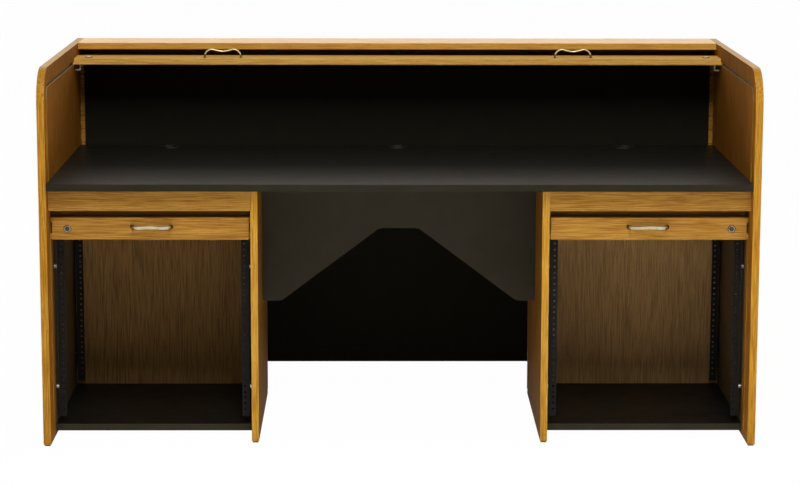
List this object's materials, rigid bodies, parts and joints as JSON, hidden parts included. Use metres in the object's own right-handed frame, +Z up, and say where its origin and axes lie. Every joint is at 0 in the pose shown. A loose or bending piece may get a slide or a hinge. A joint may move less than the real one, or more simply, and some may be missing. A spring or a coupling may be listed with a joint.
{
  "type": "tambour desk",
  "caption": "Wide console desk with a slatted roll top over its worktop, a kneehole and rack bays behind slatted shutters, shown open.",
  "frame": {"origin": "centre of the footprint on the floor, at the middle of width and depth", "axes": "+X to the sitter's right as the front is faced, -Y out of the front, +Z up"},
  "size_m": [1.8, 0.9, 0.954],
  "materials": {
    "oak_veneer": "satin lacquered oak veneer",
    "charcoal_laminate": "matt charcoal laminate on board",
    "black_canvas": "plain woven black canvas",
    "brown_canvas": "plain woven brown canvas",
    "black_steel": "satin black powder coat",
    "black_plastic": "fine matt moulded plastic",
    "rubber": "matt black rubber",
    "zinc_steel": "bright zinc plated steel",
    "satin_nickel": "warm satin nickel",
    "lock_nickel": "satin nickel"
  },
  "bodies": {
    "carcass": {"left_side_panel": "oak_veneer", "right_side_panel": "oak_veneer", "left_inner_panel": "oak_veneer", "right_inner_panel": "oak_veneer", "top_board": "oak_veneer", "back_panel": "oak_veneer", "left_fascia": "oak_veneer", "right_fascia": "oak_veneer", "left_bay_back": "oak_veneer", "right_bay_back": "oak_veneer", "rolltop_slats": "oak_veneer", "left_shutter_slats": "oak_veneer", "right_shutter_slats": "oak_veneer", "desktop": "charcoal_laminate", "knee_panel": "charcoal_laminate", "left_bay_floor": "charcoal_laminate", "right_bay_floor": "charcoal_laminate", "rolltop_canvas": "black_canvas", "left_shutter_canvas": "brown_canvas", "right_shutter_canvas": "brown_canvas", "left_rack_rail_front_outer": "black_steel", "left_rack_rail_front_inner": "black_steel", "left_rack_rail_rear_outer": "black_steel", "left_rack_rail_rear_inner": "black_steel", "right_rack_rail_front_outer": "black_steel", "right_rack_rail_front_inner": "black_steel", "right_rack_rail_rear_outer": "black_steel", "right_rack_rail_rear_inner": "black_steel", "cable_outlet_left": "black_plastic", "cable_outlet_centre": "black_plastic", "cable_outlet_right": "black_plastic", "floor_glides": "black_plastic", "rack_sleeves": "black_plastic", "top_stops": "rubber", "rack_screws": "zinc_steel"},
    "rolltop_lead": {"rolltop_lead_rail": "oak_veneer", "rolltop_grip_left": "satin_nickel", "rolltop_grip_right": "satin_nickel", "rolltop_grip_screws": "zinc_steel", "rolltop_lock_case_left": "lock_nickel", "rolltop_lock_case_right": "lock_nickel"},
    "rolltop_tail": {"rolltop_tail_slat": "oak_veneer", "rolltop_tail_canvas": "black_canvas"},
    "rolltop_lock_left": {"rolltop_lock_plug_left": "lock_nickel", "rolltop_lock_cam_left": "zinc_steel"},
    "left_shutter": {"left_shutter_lead_rail": "oak_veneer", "left_shutter_grip": "satin_nickel", "left_shutter_grip_screws": "zinc_steel", "left_shutter_lock_case": "lock_nickel"},
    "left_shutter_lock": {"left_shutter_lock_plug": "lock_nickel", "left_shutter_lock_cam": "zinc_steel"},
    "rolltop_lock_right": {"rolltop_lock_plug_right": "lock_nickel", "rolltop_lock_cam_right": "zinc_steel"},
    "right_shutter": {"right_shutter_lead_rail": "oak_veneer", "right_shutter_grip": "satin_nickel", "right_shutter_grip_screws": "zinc_steel", "right_shutter_lock_case": "lock_nickel"},
    "right_shutter_lock": {"right_shutter_lock_plug": "lock_nickel", "right_shutter_lock_cam": "zinc_steel"}
  },
  "joints": [
    {"name": "rolltop_slide", "type": "slide", "parent": "carcass", "child": "rolltop_lead", "axis": [0, -1, 0], "range_m": [0, 0.55], "deforming": ["rolltop_slats", "rolltop_canvas"]},
    {"name": "rolltop_tail_rise", "type": "slide", "parent": "carcass", "child": "rolltop_tail", "axis": [0, 0, 1], "range_m": [0, 0.55]},
    {"name": "left_shutter_slide", "type": "slide", "parent": "carcass", "child": "left_shutter", "axis": [0, 0, -1], "range_m": [0, 0.508], "deforming": ["left_shutter_slats", "left_shutter_canvas"]},
    {"name": "right_shutter_slide", "type": "slide", "parent": "carcass", "child": "right_shutter", "axis": [0, 0, -1], "range_m": [0, 0.508], "deforming": ["right_shutter_slats", "right_shutter_canvas"]},
    {"name": "rolltop_lock_left_turn", "type": "hinge", "parent": "rolltop_lead", "child": "rolltop_lock_left", "pos_m": [-0.842, 0.2135, 0.9225], "axis": [0, 0, -1], "range_deg": [0, 90]},
    {"name": "rolltop_lock_right_turn", "type": "hinge", "parent": "rolltop_lead", "child": "rolltop_lock_right", "pos_m": [0.842, 0.2135, 0.9225], "axis": [0, 0, 1], "range_deg": [0, 90]},
    {"name": "left_shutter_lock_turn", "type": "hinge", "parent": "left_shutter", "child": "left_shutter_lock", "pos_m": [-0.836, -0.393, 0.5485], "axis": [0, 1, 0], "range_deg": [0, 90]},
    {"name": "right_shutter_lock_turn", "type": "hinge", "parent": "right_shutter", "child": "right_shutter_lock", "pos_m": [0.836, -0.393, 0.5485], "axis": [0, -1, 0], "range_deg": [0, 90]}
  ],
  "couplings": [
    {"joint": "rolltop_tail_rise", "follows": "rolltop_slide", "ratio": 1}
  ]
}
